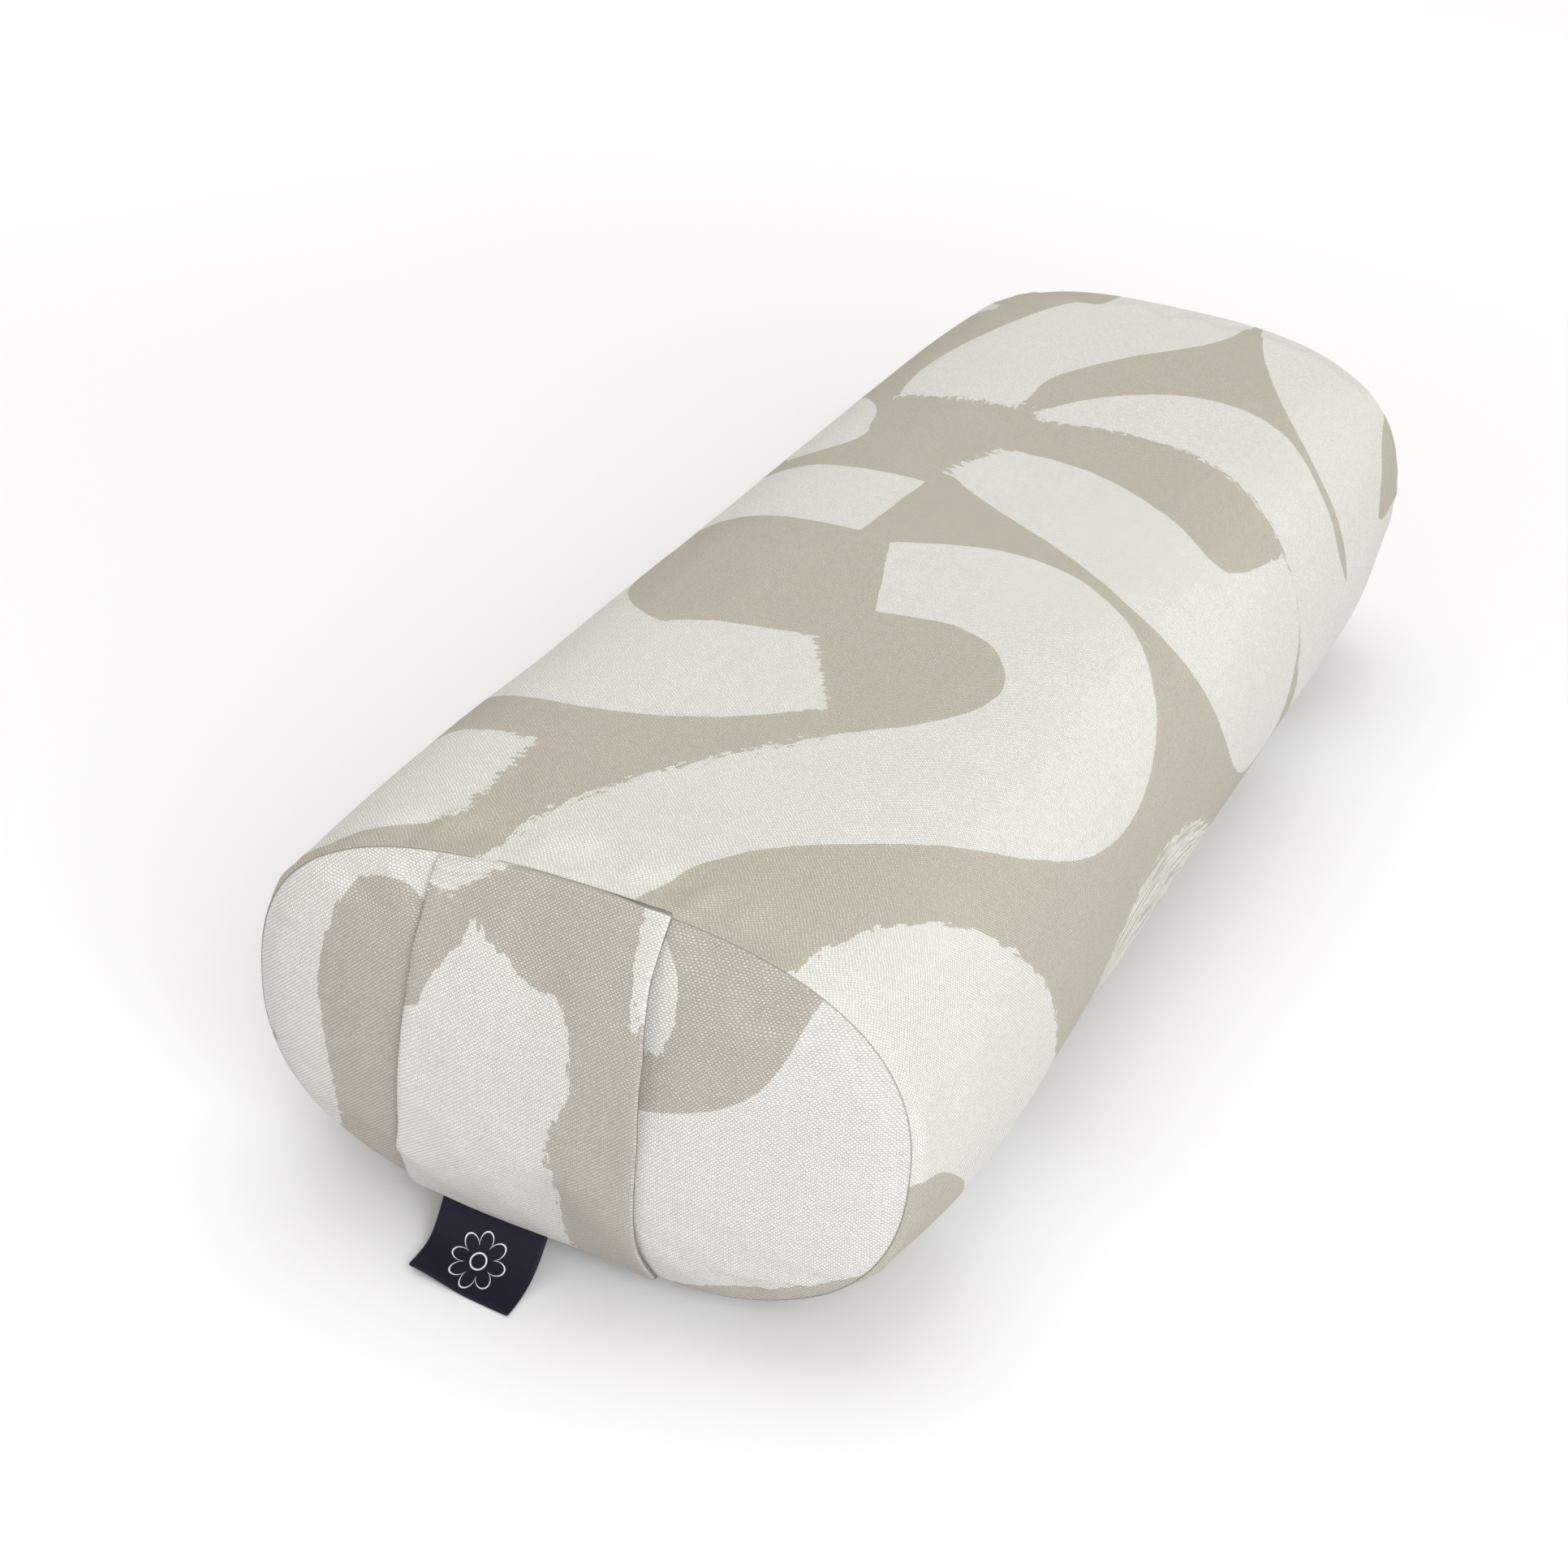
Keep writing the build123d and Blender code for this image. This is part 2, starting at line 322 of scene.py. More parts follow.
# ---- cloth simulation of the filled cover ----
def join_cover(tube, ends):
    """A closed cover from a tube grid and two panel grids that share its end rows: points, faces,
    the numbers of each panel grid's points and which of those lie on the rim."""
    reach, fraction, _, _ = panel_place(COARSE_PANEL)
    place = np.round(fraction * COARSE_AROUND).astype(int) % COARSE_AROUND
    rim = reach > 1 - 1e-9
    points = [tube.reshape(-1, 3)]
    faces = [grid_faces(*tube.shape[:2], closed=True)]
    index = []
    count = len(points[0])
    for end, panel in zip((-1, 1), ends):
        grid = np.zeros(reach.shape, int)
        grid[rim] = SEAM_ROWS[end] * COARSE_AROUND + place[rim]
        inner = panel[~rim]
        grid[~rim] = count + np.arange(len(inner))
        count += len(inner)
        points.append(inner)
        quads = grid_faces(*reach.shape)
        faces.append(grid.ravel()[quads if end > 0 else quads[:, ::-1]])
        index.append(grid)
    return np.concatenate(points), np.concatenate(faces), index, rim


def coarse_form():
    """The filled form on the coarse grids: the tube's points and each panel's."""
    y_rows = np.linspace(-SEAM, SEAM, COARSE_ALONG + 1)
    reach, fraction, _, _ = panel_place(COARSE_PANEL)
    ends = [panel_form(end, reach, fraction) for end in (-1, 1)]
    return tube_form(y_rows, np.arange(COARSE_AROUND) / COARSE_AROUND), ends


def simulate_cover():
    """Inflates a coarse cover with Blender's cloth, its seams pulled short by their thread.
    Returns how far each point of the tube and of the two panels moved."""
    tube_points, ends = coarse_form()
    start, faces, index, rim = join_cover(tube_points, ends)
    cover = make_mesh("cover_simulation", start, faces)
    moved = run_cloth(cover, np.concatenate([grid[rim] for grid in index]), start)
    bpy.data.objects.remove(cover)
    tube_moved = moved[: tube_points.shape[0] * COARSE_AROUND].reshape(tube_points.shape)
    return tube_moved, [moved[grid] for grid in index]


def run_cloth(cover, seam_points, start):
    """Steps the cloth and returns each point's move, centred and softly limited."""
    seams = cover.vertex_groups.new(name="seams")
    seams.add([int(k) for k in seam_points], 1.0, "REPLACE")
    cloth = cover.modifiers.new("Cloth", "CLOTH")
    for name, value in CLOTH_SETTINGS.items():
        setattr(cloth.settings, name, value)
    cloth.settings.effector_weights.gravity = 0
    cloth.point_cache.frame_end = CLOTH_FRAMES
    scene = bpy.context.scene
    for number in range(1, CLOTH_FRAMES + 1):
        scene.frame_set(number)
    shaped = cover.evaluated_get(bpy.context.evaluated_depsgraph_get())
    result = np.zeros(len(start) * 3)
    shaped.data.vertices.foreach_get("co", result)
    cover.modifiers.remove(cloth)
    scene.frame_set(1)
    moved = result.reshape(-1, 3) - start
    moved -= moved.mean(axis=0)
    length = np.linalg.norm(moved, axis=1)[:, None]
    return moved * (CLOTH_LIMIT * np.tanh(length / CLOTH_LIMIT) / np.maximum(length, 1e-9))


tube_moved, panels_moved = simulate_cover()


def covered(y_rows, fractions):
    """Points of the finished wrap surface at rows along y, each with its own shares round."""
    rows = []
    for y, shares in zip(y_rows, fractions):
        x, z = outline(section_share(y), shares)
        row = np.full_like(shares, (y + SEAM) / (2 * SEAM) * COARSE_ALONG)
        moved = sample(tube_moved, row, shares * COARSE_AROUND, closed=True)
        rows.append(stack(x, y, z) + moved)
    return np.array(rows)


def section_normals(points):
    """Outward directions in each row's section."""
    along = np.gradient(points, axis=1)
    return unit(stack(-along[..., 2], 0, along[..., 0]))


# ---- the print: wide brush strokes, worked out on the flat cloth ----
class Stroke:
    """A brush stroke through given points (x, y and width in millimetres on the flat cloth).
    torn says how ragged its start, end, left and right edges are; dry leaves bare streaks, and
    a stroke that lifts takes the colour of those before it away."""

    def __init__(self, points, torn=(0, 0, 0, 0), dry=0.0, round_ends=(False, False), lifts=False):
        line = self.curve(np.array(points, float) * MM)
        self.centre = line[:, :2]
        self.half = line[:, 2] / 2
        self.torn = torn
        self.dry = dry
        self.round_ends = round_ends
        self.lifts = lifts
        steps = np.linalg.norm(np.diff(self.centre, axis=0), axis=1)
        self.travelled = np.concatenate([[0], np.cumsum(steps)])

    @staticmethod
    def curve(points, steps=14):
        """Catmull-Rom line through the points."""
        ends = np.concatenate([[2 * points[0] - points[1]], points, [2 * points[-1] - points[-2]]])
        share = np.arange(len(points) - 1)[:, None] + np.arange(steps) / steps
        share = np.append(share.ravel(), len(points) - 1)
        return sample(ends[:, None], share + 1, np.zeros_like(share))

    def nearest(self, places):
        """Distance to the centre line, and the half width, way along and side offset there."""
        found = np.full((4, len(places)), np.inf)
        for k, (a, b) in enumerate(zip(self.centre[:-1], self.centre[1:])):
            step = b - a
            length = np.linalg.norm(step)
            offset = places - a
            share = np.clip(offset @ step / length**2, 0, 1)
            side = (step[0] * offset[:, 1] - step[1] * offset[:, 0]) / length
            distance = np.linalg.norm(offset - share[:, None] * step, axis=1)
            half = self.half[k] + share * (self.half[k + 1] - self.half[k])
            here = np.stack([distance, half, self.travelled[k] + share * length, side])
            found = np.where(distance < found[0], here, found)
        return found

    def measure(self, places):
        """Depth inside the stroke, raggedness, way along and side offset of each place."""
        distance, half, along, side = self.nearest(places)
        depth = half - distance
        to_ends = (along, self.travelled[-1] - along)
        outward = (self.centre[0] - self.centre[1], self.centre[-1] - self.centre[-2])
        for gone, way, tip, is_round in zip(to_ends, outward, self.centre[[0, -1]], self.round_ends):
            before_end = (tip - places) @ (way / np.linalg.norm(way))
            cut = (gone < half) & (not is_round)
            depth = np.where(cut, np.minimum(depth, before_end), depth)
        ragged = (
            self.torn[0] * (1 - smooth(to_ends[0], 0, TORN_REACH)),
            self.torn[1] * (1 - smooth(to_ends[1], 0, TORN_REACH)),
            self.torn[2] * smooth(side, 0, half),
            self.torn[3] * smooth(-side, 0, half),
        )
        return depth, np.maximum.reduce(ragged), along, side


def paint(strokes, places, inverted=False):
    """Print attributes for places on the flat cloth: (depth inside a stroke, raggedness, dryness)
    and (way along, side offset, number of the stroke). inverted makes the strokes the bare
    cloth and prints the rest."""
    edge = np.zeros((len(places), 3))
    edge[:, 0] = -0.2
    brush = np.zeros((len(places), 3))
    for number, stroke in enumerate(strokes):
        depth, ragged, along, side = stroke.measure(places)
        if stroke.lifts:
            depth = -depth
        deeper = depth < edge[:, 0] if stroke.lifts else depth > edge[:, 0]
        edge[deeper] = stack(depth, ragged, stroke.dry)[deeper]
        brush[deeper] = stack(along, side, number)[deeper]
    if inverted:
        edge[:, 0] *= -1
    return {"print_edge": edge, "print_brush": brush}


WRAP_STROKES = [
    Stroke([(20, 720, 80), (8, 672, 78), (-30, 615, 76), (-56, 550, 68), (-54, 492, 64)], (0, 1, 0, 0)),
    Stroke([(104, 720, 86), (106, 650, 88), (140, 600, 84), (192, 606, 62), (226, 700, 52)]),
    Stroke([(-14, 490, 12), (28, 519, 52), (72, 532, 76), (120, 518, 70), (164, 509, 76), (206, 528, 82),
            (262, 574, 84)], (1, 0, 0, 0.75)),
    Stroke([(-20, 424, 44), (18, 411, 68), (60, 391, 76), (102, 374, 80), (142, 384, 88), (166, 418, 94),
            (176, 470, 92)], (1, 0.5, 0, 0)),
    Stroke([(-6, 284, 70), (38, 297, 80), (80, 283, 80), (107, 243, 78), (109, 200, 76), (88, 154, 74),
            (52, 112, 72)]),
    Stroke([(66, 126, 72), (46, 106, 72), (16, 68, 68), (0, 20, 66), (-2, -12, 66)], (0, 0, 0, 0.9)),
    Stroke([(228, 356, 24), (208, 290, 50), (206, 232, 44), (220, 190, 16)], (0, 0.6, 0, 0.5), 1.0,
           (True, True)),
    Stroke([(148, -12, 104), (152, 36, 102), (184, 80, 88), (232, 112, 76), (300, 152, 80)],
           (0, 1, 0.5, 0)),
    Stroke([(8, 190, 62), (-30, 170, 82), (-70, 158, 84), (-106, 178, 78), (-140, 226, 70), (-170, 300, 64),
            (-206, 384, 60)], (0.45, 0, 0, 0)),
    Stroke([(-30, 354, 66), (-80, 358, 66), (-126, 372, 60), (-180, 412, 56)]),
    Stroke([(-176, 606, 12), (-146, 532, 32), (-114, 468, 50), (-100, 436, 44)], round_ends=(True, True)),
    Stroke([(-196, 720, 34), (-182, 676, 28), (-168, 650, 16)], (0, 1, 0.4, 0.4)),
    Stroke([(-132, 720, 26), (-112, 672, 18), (-90, 646, 8)], (0, 1, 0.4, 0.4)),
    Stroke([(-58, 54, 62), (-104, 50, 84), (-160, 62, 90), (-230, 100, 84)], (1, 0, 0, 0)),
    Stroke([(330, 720, 66), (304, 620, 72), (352, 528, 76), (456, 492, 62)], (0, 0.5, 0, 0)),
    Stroke([(296, 438, 60), (364, 376, 78), (440, 400, 70), (512, 470, 54)], (1, 0, 0.4, 0)),
    Stroke([(462, 720, 60), (506, 624, 66), (566, 556, 58)]),
    Stroke([(322, 300, 70), (392, 268, 78), (444, 190, 80), (404, 100, 62)], (0, 1, 0, 0)),
    Stroke([(496, 356, 52), (526, 258, 66), (580, 160, 60)], (1, 0, 0, 0)),
    Stroke([(318, 40, 64), (400, 22, 58), (480, 60, 70), (570, 38, 60)], (0.6, 0, 0, 0.5)),
]
FRONT_STROKES = [
    Stroke([(-76, -8, 76), (-69, 24, 54), (-66, 52, 44), (-67, 80, 48), (-70, 106, 50), (-67, 128, 48)],
           (0, 0, 0.3, 0), 0, (False, True)),
    Stroke([(10, 138, 70), (38, 140, 73), (58, 146, 68), (70, 158, 46), (78, 180, 44)]),
    Stroke([(48, 10, 8), (66, 13, 18), (86, 18, 22), (105, 27, 21), (120, 39, 14), (128, 50, 6)],
           (0, 0, 0.2, 0), 0, (True, True)),
    Stroke([(35, 160, 2), (38, 150, 10), (39, 139, 15), (40, 131, 13), (41, 127, 7)], (0, 0.3, 0, 0.3), 0,
           (True, True), True),
]
REAR_STROKES = [
    Stroke([(-150, 120, 50), (-70, 100, 60), (-20, 44, 66), (10, -10, 60)], (0, 0, 0.6, 0)),
    Stroke([(40, 180, 52), (66, 112, 60), (118, 72, 50)], (0, 1, 0, 0)),
]
BAND_STROKES = [
    Stroke([(-30, -20, 74), (-29, 32, 72), (-24, 64, 66), (-25, 88, 64), (-22, 106, 66), (-19, 118, 70),
            (-20, 127, 67), (-24, 135, 50), (-28, 146, 28), (-31, 154, 10)], (0, 0.5, 0, 0.45), 0,
           (False, True)),
    Stroke([(32, 210, 17), (33, 184, 15), (36, 162, 12), (39, 146, 10)], (0, 1, 0, 0.3)),
    Stroke([(-76, 178, 34), (-56, 178, 34), (-49, 180, 32), (-41, 184, 25), (-32, 188, 18), (-22, 191, 12)],
           (0, 0.8, 0, 0.5), 0.3),
]


# ---- materials ----
class Nodes:
    """A material whose nodes are added with short calls."""

    def __init__(self, name):
        self.material = bpy.data.materials.new(name)
        self.material.use_nodes = True
        self.tree = self.material.node_tree
        self.shader = self.tree.nodes["Principled BSDF"]

    def add(self, kind, inputs=None, **settings):
        node = self.tree.nodes.new(kind)
        for key, value in settings.items():
            setattr(node, key, value)
        for key, value in (inputs or {}).items():
            self.put(node.inputs[key], value)
        return node

    def put(self, socket, value):
        if isinstance(value, bpy.types.NodeSocket):
            self.tree.links.new(value, socket)
        else:
            socket.default_value = value

    def set(self, name, value):
        """Gives the shader a number or colour, or links it."""
        self.put(self.shader.inputs[name], value)

    def math(self, operation, a, b=0.0, c=0.0):
        return self.add("ShaderNodeMath", {0: a, 1: b, 2: c}, operation=operation).outputs[0]

    times = partialmethod(math, "MULTIPLY")
    plus = partialmethod(math, "ADD")
    minus = partialmethod(math, "SUBTRACT")
    times_plus = partialmethod(math, "MULTIPLY_ADD")
    power = partialmethod(math, "POWER")
    sine = partialmethod(math, "SINE")
    absolute = partialmethod(math, "ABSOLUTE")

    def mix(self, factor, a, b, **settings):
        """Colour from a to b."""
        return self.add("ShaderNodeMix", {0: factor, 6: a, 7: b}, data_type="RGBA", **settings).outputs[2]

    def ramp(self, value, low, high, to_low=0.0, to_high=1.0):
        limits = {0: value, 1: low, 2: high, 3: to_low, 4: to_high}
        return self.add("ShaderNodeMapRange", limits, interpolation_type="SMOOTHSTEP").outputs[0]

    def noise(self, vector, scale, detail=2.0, rough=0.5):
        inputs = {"Vector": vector, "Scale": scale, "Detail": detail, "Roughness": rough}
        return self.add("ShaderNodeTexNoise", inputs).outputs["Fac"]

    def bristles(self, brush, along, across, rough):
        """Noise drawn out along a brush stroke, at these scales along and across it."""
        place = self.join(self.times(brush[0], along), self.times(brush[1], across), brush[2])
        return self.noise(place, 1, 3, rough)

    def attribute(self, name):
        return self.add("ShaderNodeAttribute", attribute_name=name).outputs["Vector"]

    def split(self, vector):
        return self.add("ShaderNodeSeparateXYZ", {0: vector}).outputs

    def join(self, x, y, z=0.0):
        return self.add("ShaderNodeCombineXYZ", {0: x, 1: y, 2: z}).outputs[0]

    def cloth(self):
        """Place on the flat cloth in metres."""
        return self.add("ShaderNodeUVMap", uv_map="cloth").outputs[0]

    def solid(self):
        """Place in the piece in metres."""
        return self.add("ShaderNodeTexCoord").outputs["Object"]

    def shaded(self, share, colour, dark):
        """Colours the shader from a darkened colour at share 0 to the colour itself at 1."""
        self.set("Base Color", self.mix(share, (*[c * dark for c in colour], 1), (*colour, 1)))

    def bump(self, height, distance, strength=1.0):
        inputs = {"Height": height, "Distance": distance, "Strength": strength}
        return self.add("ShaderNodeBump", inputs).outputs[0]

    def weave(self, thread, wander=0.25):
        """Plain weave: the threads' height (0 to about 1.3), how much of it is the lengthwise
        threads' that lie on top, and slub lines along both."""
        place = self.cloth()
        x, y, _ = self.split(place)
        drift = self.noise(place, 220, 1)
        shift = self.times(self.minus(drift, 0.5), wander * thread * 6)
        turns = [self.times(self.plus(way, shift), math.pi / thread) for way in (x, y)]
        wide, tall = (self.sine(turn) for turn in turns)
        side = self.math("SIGN", self.times(wide, tall))
        wide = self.power(self.absolute(wide), 0.4)
        tall = self.power(self.absolute(tall), 0.9)
        oval = self.times(self.times(wide, tall), side)
        cells = [self.math("FLOOR", self.math("DIVIDE", turn, math.pi)) for turn in turns]
        odd = self.add(
            "ShaderNodeTexWhiteNoise", {"Vector": self.join(*cells)}, noise_dimensions="2D"
        ).outputs[0]
        fullness = self.times_plus(odd, 0.6, 0.7)
        cell = self.times(oval, fullness)
        on_top = self.math("MAXIMUM", cell, 0.0)
        beneath = self.math("MAXIMUM", self.times(cell, -1.0), 0.0)
        height = self.times_plus(beneath, 0.75, on_top)
        lengthwise = self.noise(self.join(self.times(x, 1 / thread), y), 12, 1)
        crosswise = self.noise(self.join(x, self.times(y, 1 / thread)), 12, 1)
        slub = self.plus(lengthwise, crosswise)
        return height, on_top, slub


def canvas_material(name, cream, taupe):
    """Heavy plain-woven cotton printed with cream brush strokes on taupe."""
    nodes = Nodes(name)
    height, on_top, slub = nodes.weave(WEAVE)
    depth, torn, dry = nodes.split(nodes.attribute("print_edge"))
    from_seam, round_seam, _ = nodes.split(nodes.attribute("seam_place"))
    place = nodes.cloth()
    brush = nodes.split(nodes.attribute("print_brush"))
    streaks = nodes.bristles(brush, 150, 420, 0.55)
    clumps = nodes.noise(place, 260, 3, 0.6)
    tear = nodes.plus(nodes.times(streaks, 0.65), nodes.times(clumps, 0.35))
    edge = nodes.times_plus(nodes.minus(tear, 0.56), nodes.times(torn, 34 * MM), depth)
    for wander, reach in ((nodes.noise(place, 70), 1.6 * MM), (nodes.noise(place, 900, 2, 0.6), 0.7 * MM)):
        edge = nodes.times_plus(nodes.minus(wander, 0.5), reach, edge)
    inked = nodes.ramp(edge, -0.16 * MM, 0.16 * MM)
    hairs = nodes.bristles(brush, 34, 640, 0.6)
    bare = nodes.times(nodes.ramp(hairs, 0.46, 0.5, 1, 0), dry)
    inked = nodes.times(inked, nodes.minus(1.0, bare))
    colour = nodes.mix(inked, taupe, cream)
    shade = nodes.times_plus(on_top, 0.38, 0.675)
    shade = nodes.times_plus(height, 0.38, shade)
    dust = nodes.noise(place, 1400, 1)
    broad = nodes.noise(place, 9)
    for pattern, middle, strength in ((slub, 1.0, 0.10), (dust, 0.5, 0.2), (broad, 0.5, 0.05)):
        shade = nodes.times_plus(nodes.minus(pattern, middle), strength, shade)
    grey = nodes.add("ShaderNodeCombineColor", {0: shade, 1: shade, 2: shade}).outputs[0]
    colour = nodes.mix(1.0, colour, grey, blend_type="MULTIPLY")
    # painted shade: the cloth darkens where it turns into a seam, standing in for the shadow in the seam's
    # groove
    painted_seam_shade = nodes.ramp(from_seam, -0.4 * MM, 0.3 * MM, 0.75, 0)
    nodes.set("Base Color", nodes.mix(painted_seam_shade, colour, (0.16, 0.14, 0.12, 1)))
    tug = nodes.sine(nodes.times(round_seam, 2 * math.pi / STITCH_PITCH))
    near = nodes.ramp(from_seam, 0.5 * MM, 5 * MM, 1, 0)
    dimples = nodes.times(nodes.times(tug, near), 0.3)
    relief = nodes.plus(height, nodes.times_plus(slub, 0.5, dimples))
    nodes.set("Normal", nodes.bump(relief, 0.3 * MM))
    nodes.set("Roughness", nodes.times_plus(inked, -0.05, 0.93))
    nodes.set("Sheen Weight", 0.12)
    nodes.set("Sheen Roughness", 0.5)
    nodes.set("Specular IOR Level", 0.25)
    return nodes.material


def plain_cloth(name, colour, thread):
    """Unprinted woven cloth."""
    nodes = Nodes(name)
    height, on_top, slub = nodes.weave(thread)
    nodes.shaded(nodes.times_plus(on_top, 0.2, nodes.times(slub, 0.3)), colour, 0.8)
    nodes.set("Normal", nodes.bump(height, 0.15 * MM))
    nodes.set("Roughness", 0.9)
    return nodes.material


def thread_material(name, colour):
    """Twisted sewing thread."""
    nodes = Nodes(name)
    twist = nodes.noise(nodes.solid(), 2600)
    nodes.shaded(twist, colour, 0.72)
    nodes.set("Normal", nodes.bump(twist, 0.1 * MM))
    nodes.set("Roughness", 0.7)
    return nodes.material


def satin_material(name):
    """Woven navy satin with a plain eight-petal mark in white."""
    nodes = Nodes(name)
    x, y, _ = nodes.split(nodes.cloth())
    y = nodes.minus(y, LABEL_MARK_HEIGHT)
    reach = nodes.math("SQRT", nodes.plus(nodes.times(x, x), nodes.times(y, y)))
    angle = nodes.math("ARCTAN2", y, x)
    petal = nodes.absolute(nodes.math("COSINE", nodes.times(angle, 4.0)))
    outer = nodes.times_plus(nodes.power(petal, 0.6), 5.6 * MM, 5.8 * MM)
    petals, heart = (nodes.absolute(nodes.minus(reach, line)) for line in (outer, 3.2 * MM))
    white = nodes.ramp(nodes.math("MINIMUM", petals, heart), 0.2 * MM, 0.42 * MM, 1, 0)
    height, on_top, slub = nodes.weave(0.22 * MM, 0.1)
    navy = nodes.mix(on_top, (0.004, 0.005, 0.014, 1), (0.009, 0.011, 0.027, 1))
    nodes.set("Base Color", nodes.mix(white, navy, (0.72, 0.74, 0.78, 1)))
    nodes.set("Roughness", nodes.times_plus(slub, 0.10, 0.42))
    nodes.set("Normal", nodes.bump(height, 0.05 * MM, 0.6))
    nodes.set("Specular IOR Level", 0.25)
    return nodes.material


def nylon_material(name, colour):
    nodes = Nodes(name)
    wear = nodes.noise(nodes.solid(), 900)
    nodes.shaded(wear, colour, 0.8)
    nodes.set("Roughness", nodes.times_plus(wear, 0.2, 0.35))
    return nodes.material


def metal_material(name):
    """Bright nickel with fine scratches."""
    nodes = Nodes(name)
    stretched = nodes.add("ShaderNodeMapping", {0: nodes.solid(), 3: (4000, 300, 900)}).outputs[0]
    scratches = nodes.noise(stretched, 1, 3)
    nodes.set("Base Color", nodes.mix(scratches, (0.52, 0.51, 0.49, 1), (0.68, 0.67, 0.65, 1)))
    nodes.set("Roughness", nodes.times_plus(scratches, 0.25, 0.2))
    nodes.set("Metallic", 1.0)
    return nodes.material


def filling_material(name, colour, scale, depth):
    """Soft filling: curly fibre or foam cells, by scale."""
    nodes = Nodes(name)
    cells = nodes.noise(nodes.solid(), scale, 4, 0.7)
    nodes.shaded(cells, colour, 0.85)
    nodes.set("Normal", nodes.bump(cells, depth))
    nodes.set("Roughness", 0.95)
    return nodes.material


wrap_canvas = canvas_material("wrap_canvas", (0.81, 0.80, 0.75, 1), (0.55, 0.505, 0.42, 1))
# painted shade: the end panels' and band's canvas is a darker, pinker copy of the wrap's; the darkening
# offsets the strong key light on the front end
end_canvas = canvas_material("end_canvas", (0.765, 0.735, 0.70, 1), (0.515, 0.465, 0.41, 1))
seam_thread = thread_material("seam_thread", (0.42, 0.38, 0.32))
white_thread = thread_material("white_thread", (0.8, 0.8, 0.78))
label_satin = satin_material("label_satin")
tape_cloth = plain_cloth("zip_tape_cloth", (0.45, 0.41, 0.35), 0.4 * MM)
lining = plain_cloth("lining_cloth", (0.78, 0.77, 0.74), 0.35 * MM)
coil_nylon = nylon_material("coil_nylon", (0.46, 0.42, 0.36))
zip_metal = metal_material("zip_nickel")
wadding_fibre = filling_material("wadding_fibre", (0.85, 0.85, 0.84), 300, 1.5 * MM)
foam_cells = filling_material("foam_cells", (0.80, 0.76, 0.62), 900, 0.6 * MM)


def finish_piece(piece, material, slot, *nodes, body="root"):
    """Gives a piece its material, the body it rides on and the CAD nodes it stands for."""
    piece.data.materials.append(material)
    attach(piece, body)
    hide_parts(*nodes)
    return piece


# ---- cover: wrap ----
def wrap_rows():
    """Positions along y, close together where the cloth rolls into the end seams."""
    near = SEAM - SEAM_ROLL - np.array([0, 0.6, 1.4, 2.5, 4.0, 6.0, 8.5]) * MM
    count = int(2 * near[-1] / FINE_STEP)
    middle = np.linspace(-near[-1], near[-1], count + 1)
    return np.concatenate([-near[:-1], middle, near[:-1][::-1]])


def zip_frame():
    """Matrix whose x runs to the front along the zip, y up the side and z straight out."""
    upper = (coil_low + coil_high) / 2
    lower = (lower_coil_low + lower_coil_high) / 2
    up = (upper - lower).normalized()
    forward = Vector((0, -1, 0))
    out = forward.cross(up)
    surface = (upper + lower) / 2 - out * COIL_STANDS
    return frame_matrix(forward, up, out, (surface.x, 0, surface.z))


def on_zip(along, up, out):
    """Points at y along the zip, a distance up the side of its middle and a distance out."""
    turn = np.array(zip_matrix.to_3x3())
    return np.array(zip_matrix.translation) + stack(-along, up, out) @ turn.T


def to_zip_surface(points, from_edge):
    """Moves that bring the wrap's edges beside the zip onto the CAD's surface."""
    out = np.array(zip_matrix.to_3x3().col[2])
    off = (np.array(zip_matrix.translation) - points) @ out
    near_edge = 1 - smooth(from_edge, 4 * MM, 34 * MM)
    away_from_ends = smooth(SEAM - np.abs(points[..., 1]), 0, 60 * MM)
    return (off * near_edge * away_from_ends)[..., None] * out


def wrap_surface():
    """The wrap from its upper edge at the zip round to its lower edge: points, outward
    directions and place on the flat cloth."""
    y_rows = wrap_rows()
    beside_zip = 1 - smooth(np.abs(y_rows), SLOT_END - 9 * MM, SLOT_END)
    gap = (CLOSED_GAP + (SLOT_HALF - CLOSED_GAP) * beside_zip)[:, None] / GIRTH
    fractions = gap + np.linspace(0, 1, FINE_AROUND + 1) * (1 - 2 * gap)
    points = covered(y_rows, fractions)
    normals = section_normals(points)
    u = (fractions - TOP_FRACTION) * GIRTH
    v = np.repeat(y_rows[:, None] + SEAM, FINE_AROUND + 1, axis=1)
    from_seam = SEAM - np.abs(y_rows)[:, None]
    end = np.sign(y_rows)[:, None]
    free = smooth(from_seam, SEAM_ROLL, 5 * MM)
    height = free * (
        0.5 * MM * np.exp(-(((from_seam - 6 * MM) / (4 * MM)) ** 2))
        + 0.5 * MM * ripple(u + 0.3 * end, 15 * MM, 3) * np.exp(-from_seam / (9 * MM))
        + 0.7 * MM * ripple(u - 0.2 * end, 42 * MM, 4) * np.exp(-from_seam / (24 * MM))
        + 0.5 * MM * ripple(u + 0.35 * v, 160 * MM, 5) * ripple(v, 210 * MM, 6)
    )
    height = height * smooth(points[..., 2], 0.5 * MM, 9 * MM)
    from_edge = np.minimum(u - u[:, :1], u[:, -1:] - u)
    points = points + normals * height[..., None] + to_zip_surface(points, from_edge)
    points[..., 2] = np.maximum(points[..., 2], 0)
    return points, normals, u, v


def rolled_rows(points, normals, end):
    """The last rows of the wrap at one end, which turn down into the seam."""
    rows = []
    for turn in np.radians(ROLL_TURNS):
        row = points - normals * SEAM_ROLL * (1 - math.cos(turn))
        row[:, 1] += end * SEAM_ROLL * math.sin(turn)
        rows.append(row)
    rows.append(rows[-1] - normals * 2.5 * MM)
    return rows


